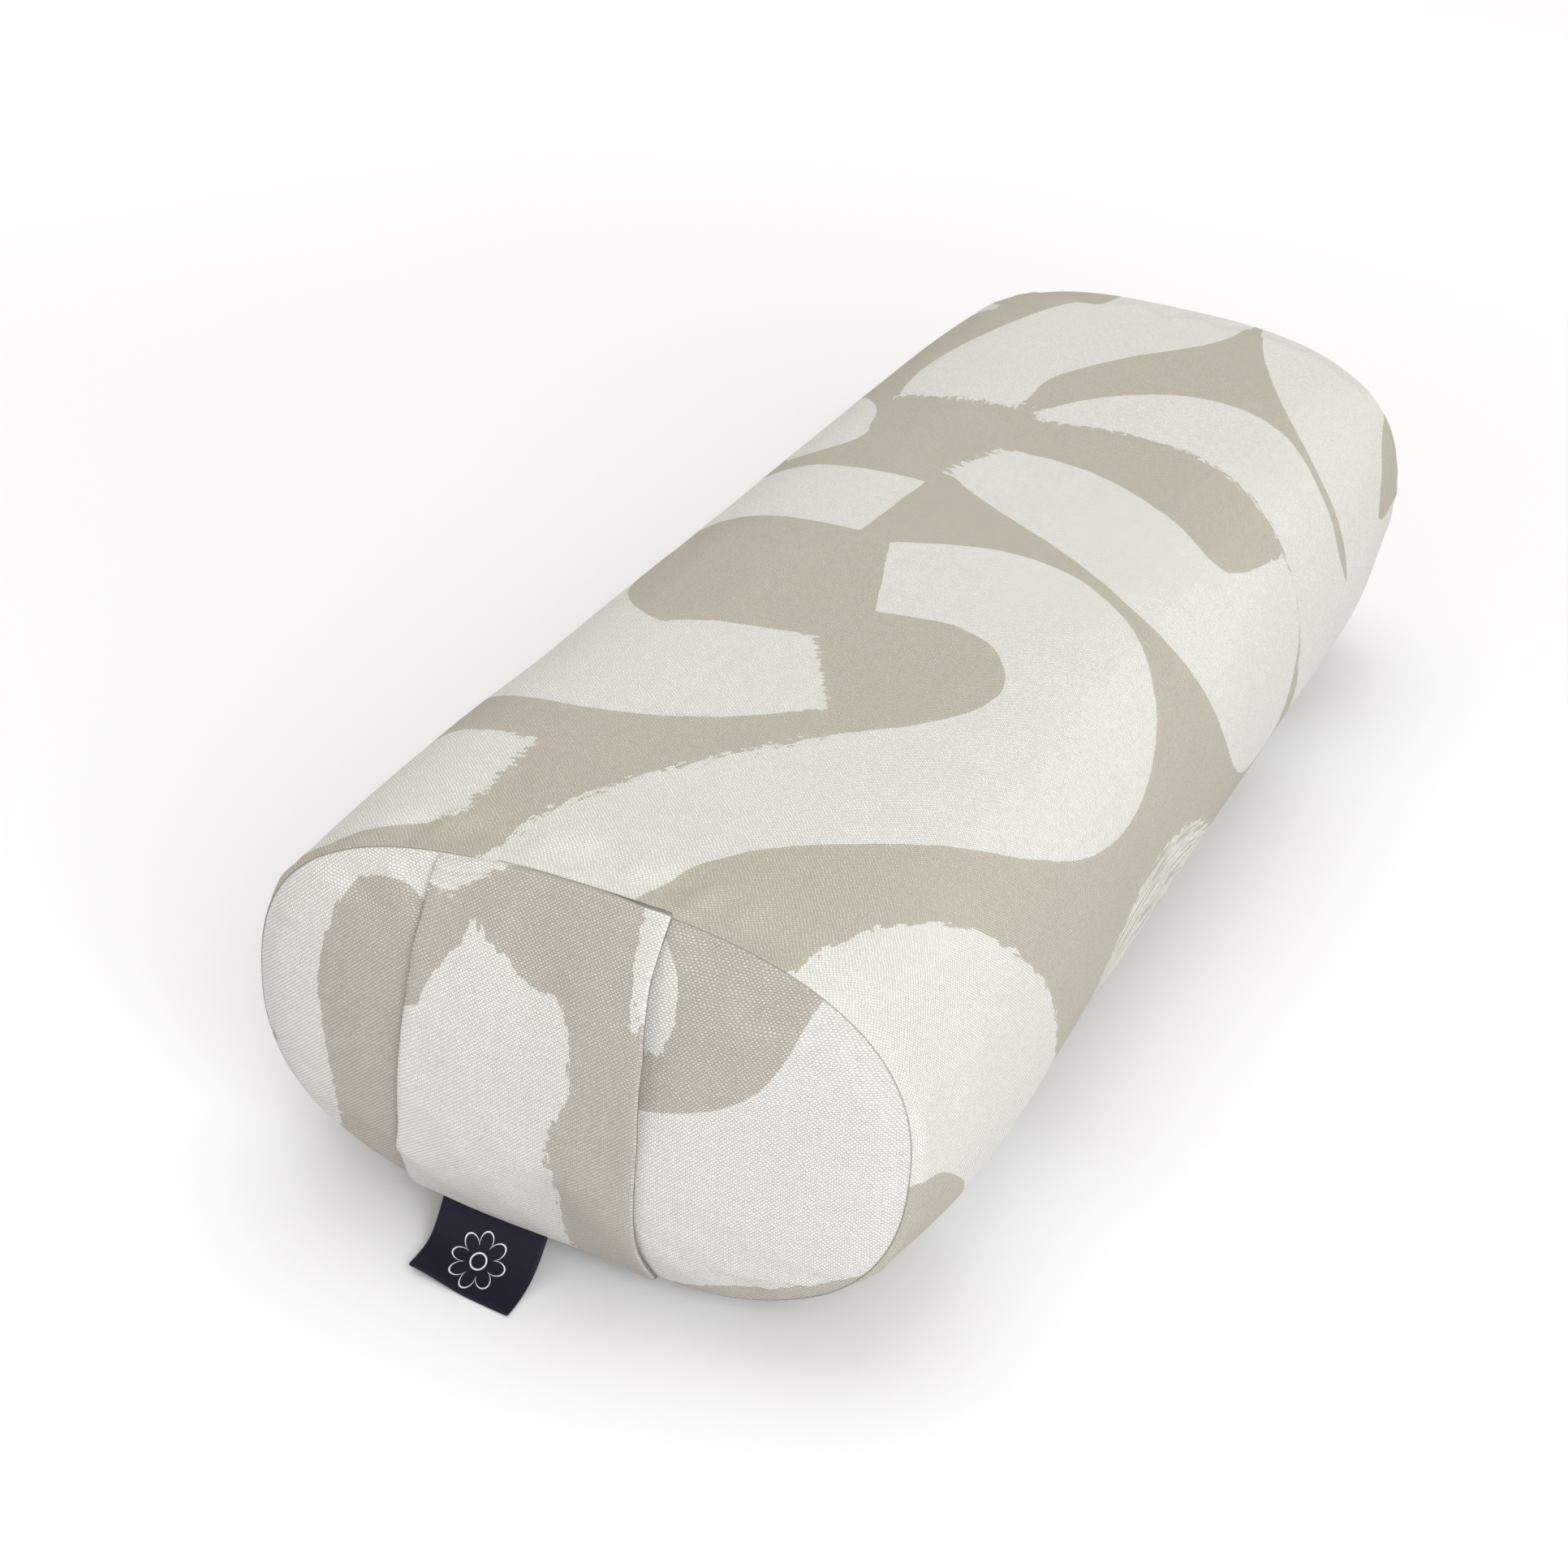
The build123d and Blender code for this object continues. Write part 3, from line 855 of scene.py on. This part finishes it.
def hem_columns(points, normals, edge, inner):
    """The columns that fold one edge of the wrap back under itself."""
    out = unit(points[:, edge] - points[:, inner])
    columns = []
    for across, down in HEM_FOLD:
        columns.append(points[:, edge] + (out * across - normals[:, edge] * down) * MM)
    return np.stack(columns, axis=1)


def make_wrap():
    points, normals, u, v = wrap_surface()
    front_rows = rolled_rows(points[0], normals[0], -1)[::-1]
    rear_rows = rolled_rows(points[-1], normals[-1], 1)
    points = np.concatenate([front_rows, points, rear_rows])
    rolled = len(ROLL_CLOTH)
    normals, u, v = (
        np.concatenate([grid[:1]] * rolled + [grid] + [grid[-1:]] * rolled) for grid in (normals, u, v)
    )
    v[:rolled] -= ROLL_CLOTH[::-1]
    v[-rolled:] += ROLL_CLOTH
    upper_hem = hem_columns(points, normals, 0, 1)[:, ::-1]
    lower_hem = hem_columns(points, normals, -1, -2)
    points = np.concatenate([upper_hem, points, lower_hem], axis=1)
    u = np.concatenate([u[:, :1] - HEM_CLOTH[::-1], u, u[:, -1:] + HEM_CLOTH], axis=1)
    v = np.pad(v, ((0, 0), (len(HEM_CLOTH), len(HEM_CLOTH))), "edge")
    places = stack(u, v).reshape(-1, 2)
    attributes = paint(WRAP_STROKES, places)
    from_seam = np.minimum(v, 2 * SEAM - v)
    attributes["seam_place"] = stack(from_seam, u, 0)
    piece = make_mesh("printed_wrap", points, grid_faces(*points.shape[:2]), places, attributes)
    finish_piece(piece, wrap_canvas, "printed_canvas", "cover_wrap")
    return piece


# ---- cover: end panels ----
def ring_points(end, fraction, out=0.0):
    """Points on an end seam at shares of the way round, moved out from it within the section,
    and how far the simulated cloth moved there."""
    x, z = outline(0, fraction)
    ahead_x, ahead_z = outline(0, (fraction + 0.001) % 1)
    back_x, back_z = outline(0, (fraction - 0.001) % 1)
    away = unit(stack(back_z - ahead_z, ahead_x - back_x))
    moved = sample(tube_moved, np.full(fraction.shape, SEAM_ROWS[end]), fraction * COARSE_AROUND, True)
    spot = stack(x + out * away[..., 0], end * SEAM, z + out * away[..., 1])
    return spot + moved, moved


def make_panel(name, end, strokes, moved, node):
    """A crowned end panel whose rim rolls back into the seam, with its allowance turned in."""
    reach, fraction, u, v = panel_place(FINE_PANEL)
    rim = 1 - 2 / FINE_PANEL
    close = 1 - (1 - np.minimum(reach / rim, 1)) ** 1.6
    allowance = reach > rim + 1e-6
    half = COARSE_PANEL / 2
    shift = sample(moved, half * (1 + u * close), half * (1 + v * close))
    rim_points, rim_moved = ring_points(end, fraction, RIM_OUT)
    rim_points = rim_points - rim_moved
    middle = np.array([0, 0, SEAM_MIDDLE])
    points = middle + (rim_points - middle) * close[..., None]
    from_seam = (1 - close) * SEAM_HEIGHT / 2
    curl = SEAM_ROLL * np.sqrt(1 - (1 - np.minimum(from_seam / SEAM_ROLL, 1)) ** 2)
    round_the_rim = fraction * GIRTH
    quiet = smooth(reach, 0.15, 0.5)
    free = smooth(from_seam, SEAM_ROLL, 5 * MM)
    height = (
        0.35 * MM * np.exp(-(((from_seam - 5 * MM) / (4 * MM)) ** 2))
        + 0.45 * MM * quiet * ripple(round_the_rim + 0.1 * end, 13 * MM, 11) * np.exp(-from_seam / (8 * MM))
        + 0.8 * MM * quiet * ripple(round_the_rim, 46 * MM, 12) * np.exp(-from_seam / (26 * MM))
    )
    bulge = (CROWN - SEAM_ROLL) * (1 - close**2) + curl + height * free - 2.5 * MM * allowance
    points[..., 1] = end * (SEAM + bulge)
    points = (points + shift).reshape(-1, 3)
    places = points[:, [0, 2]]
    attributes = paint(strokes, places, inverted=True)
    attributes["seam_place"] = stack(from_seam, round_the_rim, 0)
    quads = grid_faces(*reach.shape)
    piece = make_mesh(name, points, quads if end > 0 else quads[:, ::-1], places, attributes)
    finish_piece(piece, end_canvas, "printed_canvas", node)
    return piece


def make_seam_stitches(name, end, node):
    """Short stitches of thread round an end panel's rim, just under the wrap's edge."""
    count = round(0.97 * GIRTH / STITCH_PITCH)
    paths = []
    for k in range(count):
        share = (k + np.array([0.12, 0.3, 0.5, 0.7, 0.88])) / count
        path, _ = ring_points(end, share % 1, RIM_OUT)
        lift = np.array([-0.7, -0.2, 0, -0.2, -0.7]) * MM
        path[:, 1] += end * lift
        path[:, 2] += lift * np.sign(path[:, 2] - SEAM_MIDDLE)
        paths.append(path)
    piece = make_tubes(name, paths, 0.22 * MM)
    finish_piece(piece, seam_thread, "taupe_thread", node)


# ---- cloth slabs: the band, the label and the zip's tapes ----
def make_slab(middle, half, places):
    """A closed slab of cloth round a grid of middle points; half is its half thickness there,
    and places gives the grid's places on the flat cloth. The back's places are shifted aside."""
    half = np.broadcast_to(half, middle.shape[:2])[..., None]
    along = unit(np.gradient(middle, axis=1))
    thick = unit(np.cross(along, np.gradient(middle, axis=0))) * half
    bulge = along * half * 0.8
    layers = []
    for side in (1, -1):
        first = (middle - bulge + side * thick * 0.45)[:, :1]
        last = (middle + bulge + side * thick * 0.45)[:, -1:]
        layers.append(np.concatenate([first, middle + side * thick, last], axis=1))
    points = np.concatenate([layers[0], layers[1][:, ::-1]], axis=1)
    flat = np.concatenate([places[:, :1], places, places[:, -1:]], axis=1)
    flat = np.concatenate([flat, flat[:, ::-1] + np.array([BACK_SHIFT, 0])], axis=1)
    rows, columns = points.shape[:2]
    faces = [grid_faces(rows, columns, closed=True)]
    for row, way in ((0, -1), (rows - 1, 1)):
        front = row * columns + np.arange(columns // 2)
        back = row * columns + np.arange(columns)[::-1][: columns // 2]
        quads = stack(front[:-1], front[1:], back[1:], back[:-1])
        faces.append(quads[:, ::way])
    return points, np.concatenate(faces), flat.reshape(-1, 2)


def panel_depths(panel, x, z):
    """How far forward the front panel's surface is at each x and z, with small ripples evened."""
    mesh = panel.data
    tree = BVHTree.FromPolygons([p.co for p in mesh.vertices], [f.vertices for f in mesh.polygons])
    depths = np.zeros(x.shape)
    for place in np.ndindex(x.shape):
        hit = tree.ray_cast(Vector((x[place], -1, z[place])), Vector((0, 1, 0)))[0]
        depths[place] = hit.y if hit else -SEAM
    for _ in range(2):
        depths[1:-1] = np.minimum(depths[1:-1], (depths[:-2] + depths[1:-1] + depths[2:]) / 3)
        depths[:, 1:-1] = (depths[:, :-2] + depths[:, 1:-1] + depths[:, 2:]) / 3
    return depths


def make_band(panel):
    """The carrying band over the front panel: flat on it along its left edge, standing off it
    along the upper part of its right edge, and sewn into the seam above and below."""
    across = np.linspace(0, 1, 50)[None, :]
    share = np.sin(np.linspace(-math.pi / 2, math.pi / 2, 72))[:, None] / 2 + 0.5
    heights = (0, 0.12, 0.28, 0.5, 0.75, 0.9, 1)
    left = band_low.x + np.interp(share, heights, (-4, -1.5, 3.2, 5, 6.5, 6, 5)) * MM
    right = band_high.x + np.interp(share, heights, (-1, -1, -0.6, 1, 1, -3, -5)) * MM
    x = left + (right - left) * across
    ends = []
    ring, _ = ring_points(-1, np.linspace(0, 1, OUTLINE_POINTS), RIM_OUT / 2)
    for keep in (ring[:, 2] < SEAM_MIDDLE, ring[:, 2] >= SEAM_MIDDLE):
        order = np.argsort(ring[keep, 0])
        ends.append(np.interp(x[0], ring[keep, 0][order], ring[keep, 2][order]))
    low, high = ends
    z = low + (high - low) * share
    depth = panel_depths(panel, x, np.clip(z, low + 1.2 * MM, high - 1.2 * MM))
    stands_off = smooth(across, 0.3, 1) * np.exp(-(((share - 0.80) / 0.24) ** 2)) * 5.5 * MM
    wave = 0.5 * MM * ripple(across + 0.4 * share, 0.5, 21) * ripple(share + 0.3 * across, 0.45, 22)
    held = smooth(np.minimum(share, 1 - share), 0, 0.1)
    from_end = np.minimum(z - low, high - z)
    rounded = np.sqrt(1 - (1 - np.clip(from_end / (3 * MM), 0, 1)) ** 2)
    y = -SEAM + (depth - 1.3 * MM - (0.7 * MM + stands_off + wave) * held + SEAM) * rounded
    tails = []
    for end, way in ((0, 1), (-1, -1)):
        rows = []
        for inward, rise in ((2.6 * MM, 0.1 * MM), (1.2 * MM, 0)):
            rows.append(stack(x[end], inward - SEAM, z[end] + way * rise))
        tails.append(rows)
    middle = np.concatenate([tails[0], stack(x, y, z), tails[1][::-1]])
    edge = np.minimum(across, 1 - across) * (band_high.x - band_low.x)
    half = (0.7 + 0.35 * (1 - smooth(edge, 5.5 * MM, 7 * MM))) * MM
    travelled = np.cumsum(np.linalg.norm(np.diff(middle, axis=0, prepend=middle[:1]), axis=-1), axis=0)
    places = stack(middle[..., 0], travelled + low.min())
    points, faces, flat = make_slab(middle, half, places)
    attributes = paint(BAND_STROKES, flat)
    along = flat[:, 1] - low.min()
    # painted shade: the 2.4 mm shift lets the painted seam shade reach the band's ends where they go into
    # the seam
    from_seam = np.minimum(along, travelled.max() - along) - 2.4 * MM
    attributes["seam_place"] = stack(from_seam, flat[:, 0], 0)
    piece = make_mesh("carry_band", points, faces, flat, attributes)
    piece.data.materials.append(end_canvas)
    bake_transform(piece)
    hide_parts("carry_handle")


def make_label():
    """The folded satin label, which comes out of the lower seam and bends down to the floor."""
    share = np.linspace(0, len(LABEL_PATH) - 1, 44)
    profile = sample(LABEL_PATH[:, None], share, np.zeros_like(share))
    across = np.linspace(1, 0, 34)[None, :]
    along = np.linspace(0, 1, 44)[:, None]
    x = label_low.x + (1.2 + 43.5 * across + along * (2.2 - 0.6 * across)) * MM
    reach = 0.85 + 0.135 * across
    y = -SEAM - profile[:, :1] * reach
    curl = 2.2 * MM * (1 - smooth(across, 0, 0.6)) * smooth(along, 0.5, 1)
    wave = 0.35 * MM * np.sin(across * 5 + 1) * smooth(along, 0.3, 0.9)
    z = np.maximum(profile[:, 1:] + curl + wave, 0.75 * MM)
    middle = stack(x, y, z)
    half = 0.62 * MM * (1 - 0.55 * smooth(along, 0.985, 1))
    length = np.linalg.norm(np.diff(profile, axis=0), axis=1).sum()
    places = stack((across - 0.5) * LABEL_WIDTH, (1 - along) * length)
    points, faces, flat = make_slab(middle, half, places)
    piece = make_mesh("folded_label", points, faces, flat)
    finish_piece(piece, label_satin, "label_satin", "woven_label", body="woven_label")


# ---- zip ----
def make_tape(name, side, node):
    low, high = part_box(node)
    centre = zip_matrix.inverted() @ ((low + high) / 2)
    half_width = 5.8 * MM
    along = np.linspace(low.y, high.y, 250)[:, None]
    across = np.linspace(-half_width, half_width, 9)[None, :] * side
    wave = 0.15 * MM * np.sin(along * 130) * (across * side + half_width) / half_width
    tucked = 0.8 * MM * smooth(np.abs(along), ZIP_HALF - 4 * MM, ZIP_HALF + 6 * MM)
    middle = on_zip(along, centre.y + across, centre.z + wave - tucked)
    places = stack(np.abs(across), along)
    points, faces, flat = make_slab(middle, 0.35 * MM, places)
    piece = make_mesh(name, points, faces, flat)
    finish_piece(piece, tape_cloth, "zip_tape", node)


def make_coil(name, side, node):
    """One row of the zip: a helix of nylon whose turns mesh with the other row's."""
    low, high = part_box(node)
    turns = int((high.y - low.y) / COIL_PITCH)
    turn = np.linspace(0, 2 * np.pi * turns, turns * 10 + 1) + (np.pi if side > 0 else 0)
    along = low.y + COIL_PITCH * turn / (2 * np.pi)
    up = side * (1.05 * MM - 1.3 * MM * np.cos(turn))
    path = on_zip(along, up, COIL_STANDS + 0.8 * MM * np.sin(turn))
    piece = make_tubes(name, [path], 0.3 * MM, 5)
    finish_piece(piece, coil_nylon, "zip_coil", node)


def make_zip_stitches():
    """Two rows of machine stitches that hold the tapes."""
    low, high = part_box("zip_stitching")
    paths = []
    for side in (-1, 1):
        for start in np.arange(low.y, high.y - STITCH_PITCH, STITCH_PITCH):
            along = start + np.array([0.1, 0.3, 0.5, 0.7, 0.9]) * STITCH_PITCH
            out = np.array([-0.5, 0.12, 0.2, 0.12, -0.5]) * MM
            paths.append(on_zip(along, side * ZIP_STITCH_LINE, out))
    piece = make_tubes("zip_stitches", paths, 0.26 * MM)
    finish_piece(piece, seam_thread, "taupe_thread", "zip_stitching")


# ---- inside the cover ----
def inner_skin(depth):
    """The coarse cover moved inwards by depth: tube grid and the two panel grids."""
    tube, ends = coarse_form()
    middle = np.array([0, 0, BODY_HEIGHT / 2])
    scale = 1 - depth / np.array([BODY_WIDTH / 2, SEAM, BODY_HEIGHT / 2])
    grids = zip((tube, *ends), (tube_moved, *panels_moved))
    return [middle + (grid + moved - middle) * scale for grid, moved in grids]


def make_inner(name, depth, material, slot, node):
    """A closed filling: the cover's form, moved in by depth."""
    tube, front, rear = inner_skin(depth)
    points, faces, _, _ = join_cover(tube, (front, rear))
    piece = make_mesh(name, points, faces, points[:, [0, 1]])
    finish_piece(piece, material, slot, node)


def make_liner():
    """The plain inner bag: a tube and two ends, sewn round."""
    tube, front, rear = inner_skin(3.6 * MM)
    around = np.arange(COARSE_AROUND + 1) / COARSE_AROUND * GIRTH
    tube = np.concatenate([tube, tube[:, :1]], axis=1)
    places = stack(around, tube[..., 1])
    piece = make_mesh("liner_bag", tube, grid_faces(*tube.shape[:2]), places)
    finish_piece(piece, lining, "lining", "liner_tube")
    quads = grid_faces(*front.shape[:2])
    for name, grid, faces, node in (
        ("liner_front", front, quads[:, ::-1], "liner_front_end"),
        ("liner_rear", rear, quads, "liner_rear_end"),
    ):
        piece = make_mesh(name, grid, faces, grid[..., [0, 2]])
        finish_piece(piece, lining, "lining", node)
    paths = []
    for row in (tube[0], tube[-1]):
        for k in range(COARSE_AROUND):
            paths.append(row[k] + (row[k + 1] - row[k]) * np.array([0.1, 0.35, 0.6, 0.8])[:, None])
    piece = make_tubes("liner_stitches", paths, 0.25 * MM, 5)
    finish_piece(piece, white_thread, "white_thread", "liner_seam_thread")


# ---- building ----
zip_matrix = zip_frame()
wrap = make_wrap()
front_panel = make_panel("front_crowned_panel", -1, FRONT_STROKES, panels_moved[0], "front_end_panel")
make_panel("rear_crowned_panel", 1, REAR_STROKES, panels_moved[1], "rear_end_panel")
make_seam_stitches("front_seam_stitches", -1, "front_seam_thread")
make_seam_stitches("rear_seam_stitches", 1, "rear_seam_thread")
make_band(front_panel)
make_label()
make_tape("zip_tape_upper_cloth", 1, "zip_tape_upper")
make_tape("zip_tape_lower_cloth", -1, "zip_tape_lower")
make_coil("zip_coil_upper_helix", 1, "zip_coil_upper")
make_coil("zip_coil_lower_helix", -1, "zip_coil_lower")
make_zip_stitches()
for metal_node in ("zip_slider", "zip_pull", "zip_top_stop", "zip_bottom_stop"):
    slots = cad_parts[metal_node].data.materials
    slots.clear()
    slots.append(zip_metal)
make_liner()
make_inner("wadding_layer", 4.8 * MM, wadding_fibre, "wadding", "fibre_wadding")
make_inner("foam_block", 17 * MM, foam_cells, "foam", "foam_core")


# ---- floor, light and camera ----
def make_floor():
    nodes = Nodes("pale_floor")
    place = nodes.solid()
    cloud = nodes.noise(place, 3)
    nodes.set("Base Color", nodes.mix(cloud, (0.83, 0.83, 0.84, 1), (0.84, 0.84, 0.85, 1)))
    away = nodes.add("ShaderNodeVectorMath", {0: place}, operation="LENGTH").outputs["Value"]
    # painted light: the floor glows, from none within 0.5 m of the middle up to 0.15 beyond 1.6 m
    nodes.set("Emission Strength", nodes.ramp(away, 0.5, 1.6, 0.0, 0.15))
    nodes.set("Roughness", 0.9)
    nodes.set("Emission Color", (1, 1, 1, 1))
    bpy.ops.mesh.primitive_plane_add(size=14)
    floor = bpy.context.object
    floor.name = "floor"
    floor.data.materials.append(nodes.material)


def make_light(name, place, size, power, colour):
    """A round lamp at a place, turned to the middle of the floor."""
    light = bpy.data.lights.new(name, "AREA")
    light.shape = "DISK"
    light.size = size
    light.energy = power
    light.color = colour
    lamp = add_object(name, light)
    lamp.location = place
    lamp.rotation_euler = (-Vector(place)).to_track_quat("-Z", "Y").to_euler()


def make_camera():
    """Looks down on the front end from its right, slightly rolled."""
    azimuth, elevation, roll = CAMERA_TURNS
    target = Vector((-0.0338, 0.2632 - SEAM, 0.070))
    level = math.cos(elevation)
    back = Vector((math.sin(azimuth) * level, -math.cos(azimuth) * level, math.sin(elevation)))
    right = Vector((0, 0, 1)).cross(back).normalized()
    up = back.cross(right)
    turned_right = right * math.cos(roll) + up * math.sin(roll)
    turned_up = up * math.cos(roll) - right * math.sin(roll)
    camera = add_object("camera", bpy.data.cameras.new("camera"))
    camera.matrix_world = frame_matrix(turned_right, turned_up, back, target + back * CAMERA_DISTANCE)
    camera.data.lens = CAMERA_LENS
    camera.data.clip_start = 0.05
    bpy.context.scene.camera = camera


def make_world():
    world = bpy.data.worlds.new("studio")
    world.use_nodes = True
    background = world.node_tree.nodes["Background"]
    background.inputs["Color"].default_value = (1.0, 0.985, 0.955, 1)
    background.inputs["Strength"].default_value = 0.74
    bpy.context.scene.world = world
    bpy.context.scene.view_settings.view_transform = "Standard"


make_floor()
make_light("key", (2.1, -2.5, 1.7), 2.6, 90, (0.95, 0.98, 1.0))
make_light("top", (-0.4, 0.3, 3.0), 3.0, 28, (1.0, 0.99, 0.97))
make_camera()
make_world()
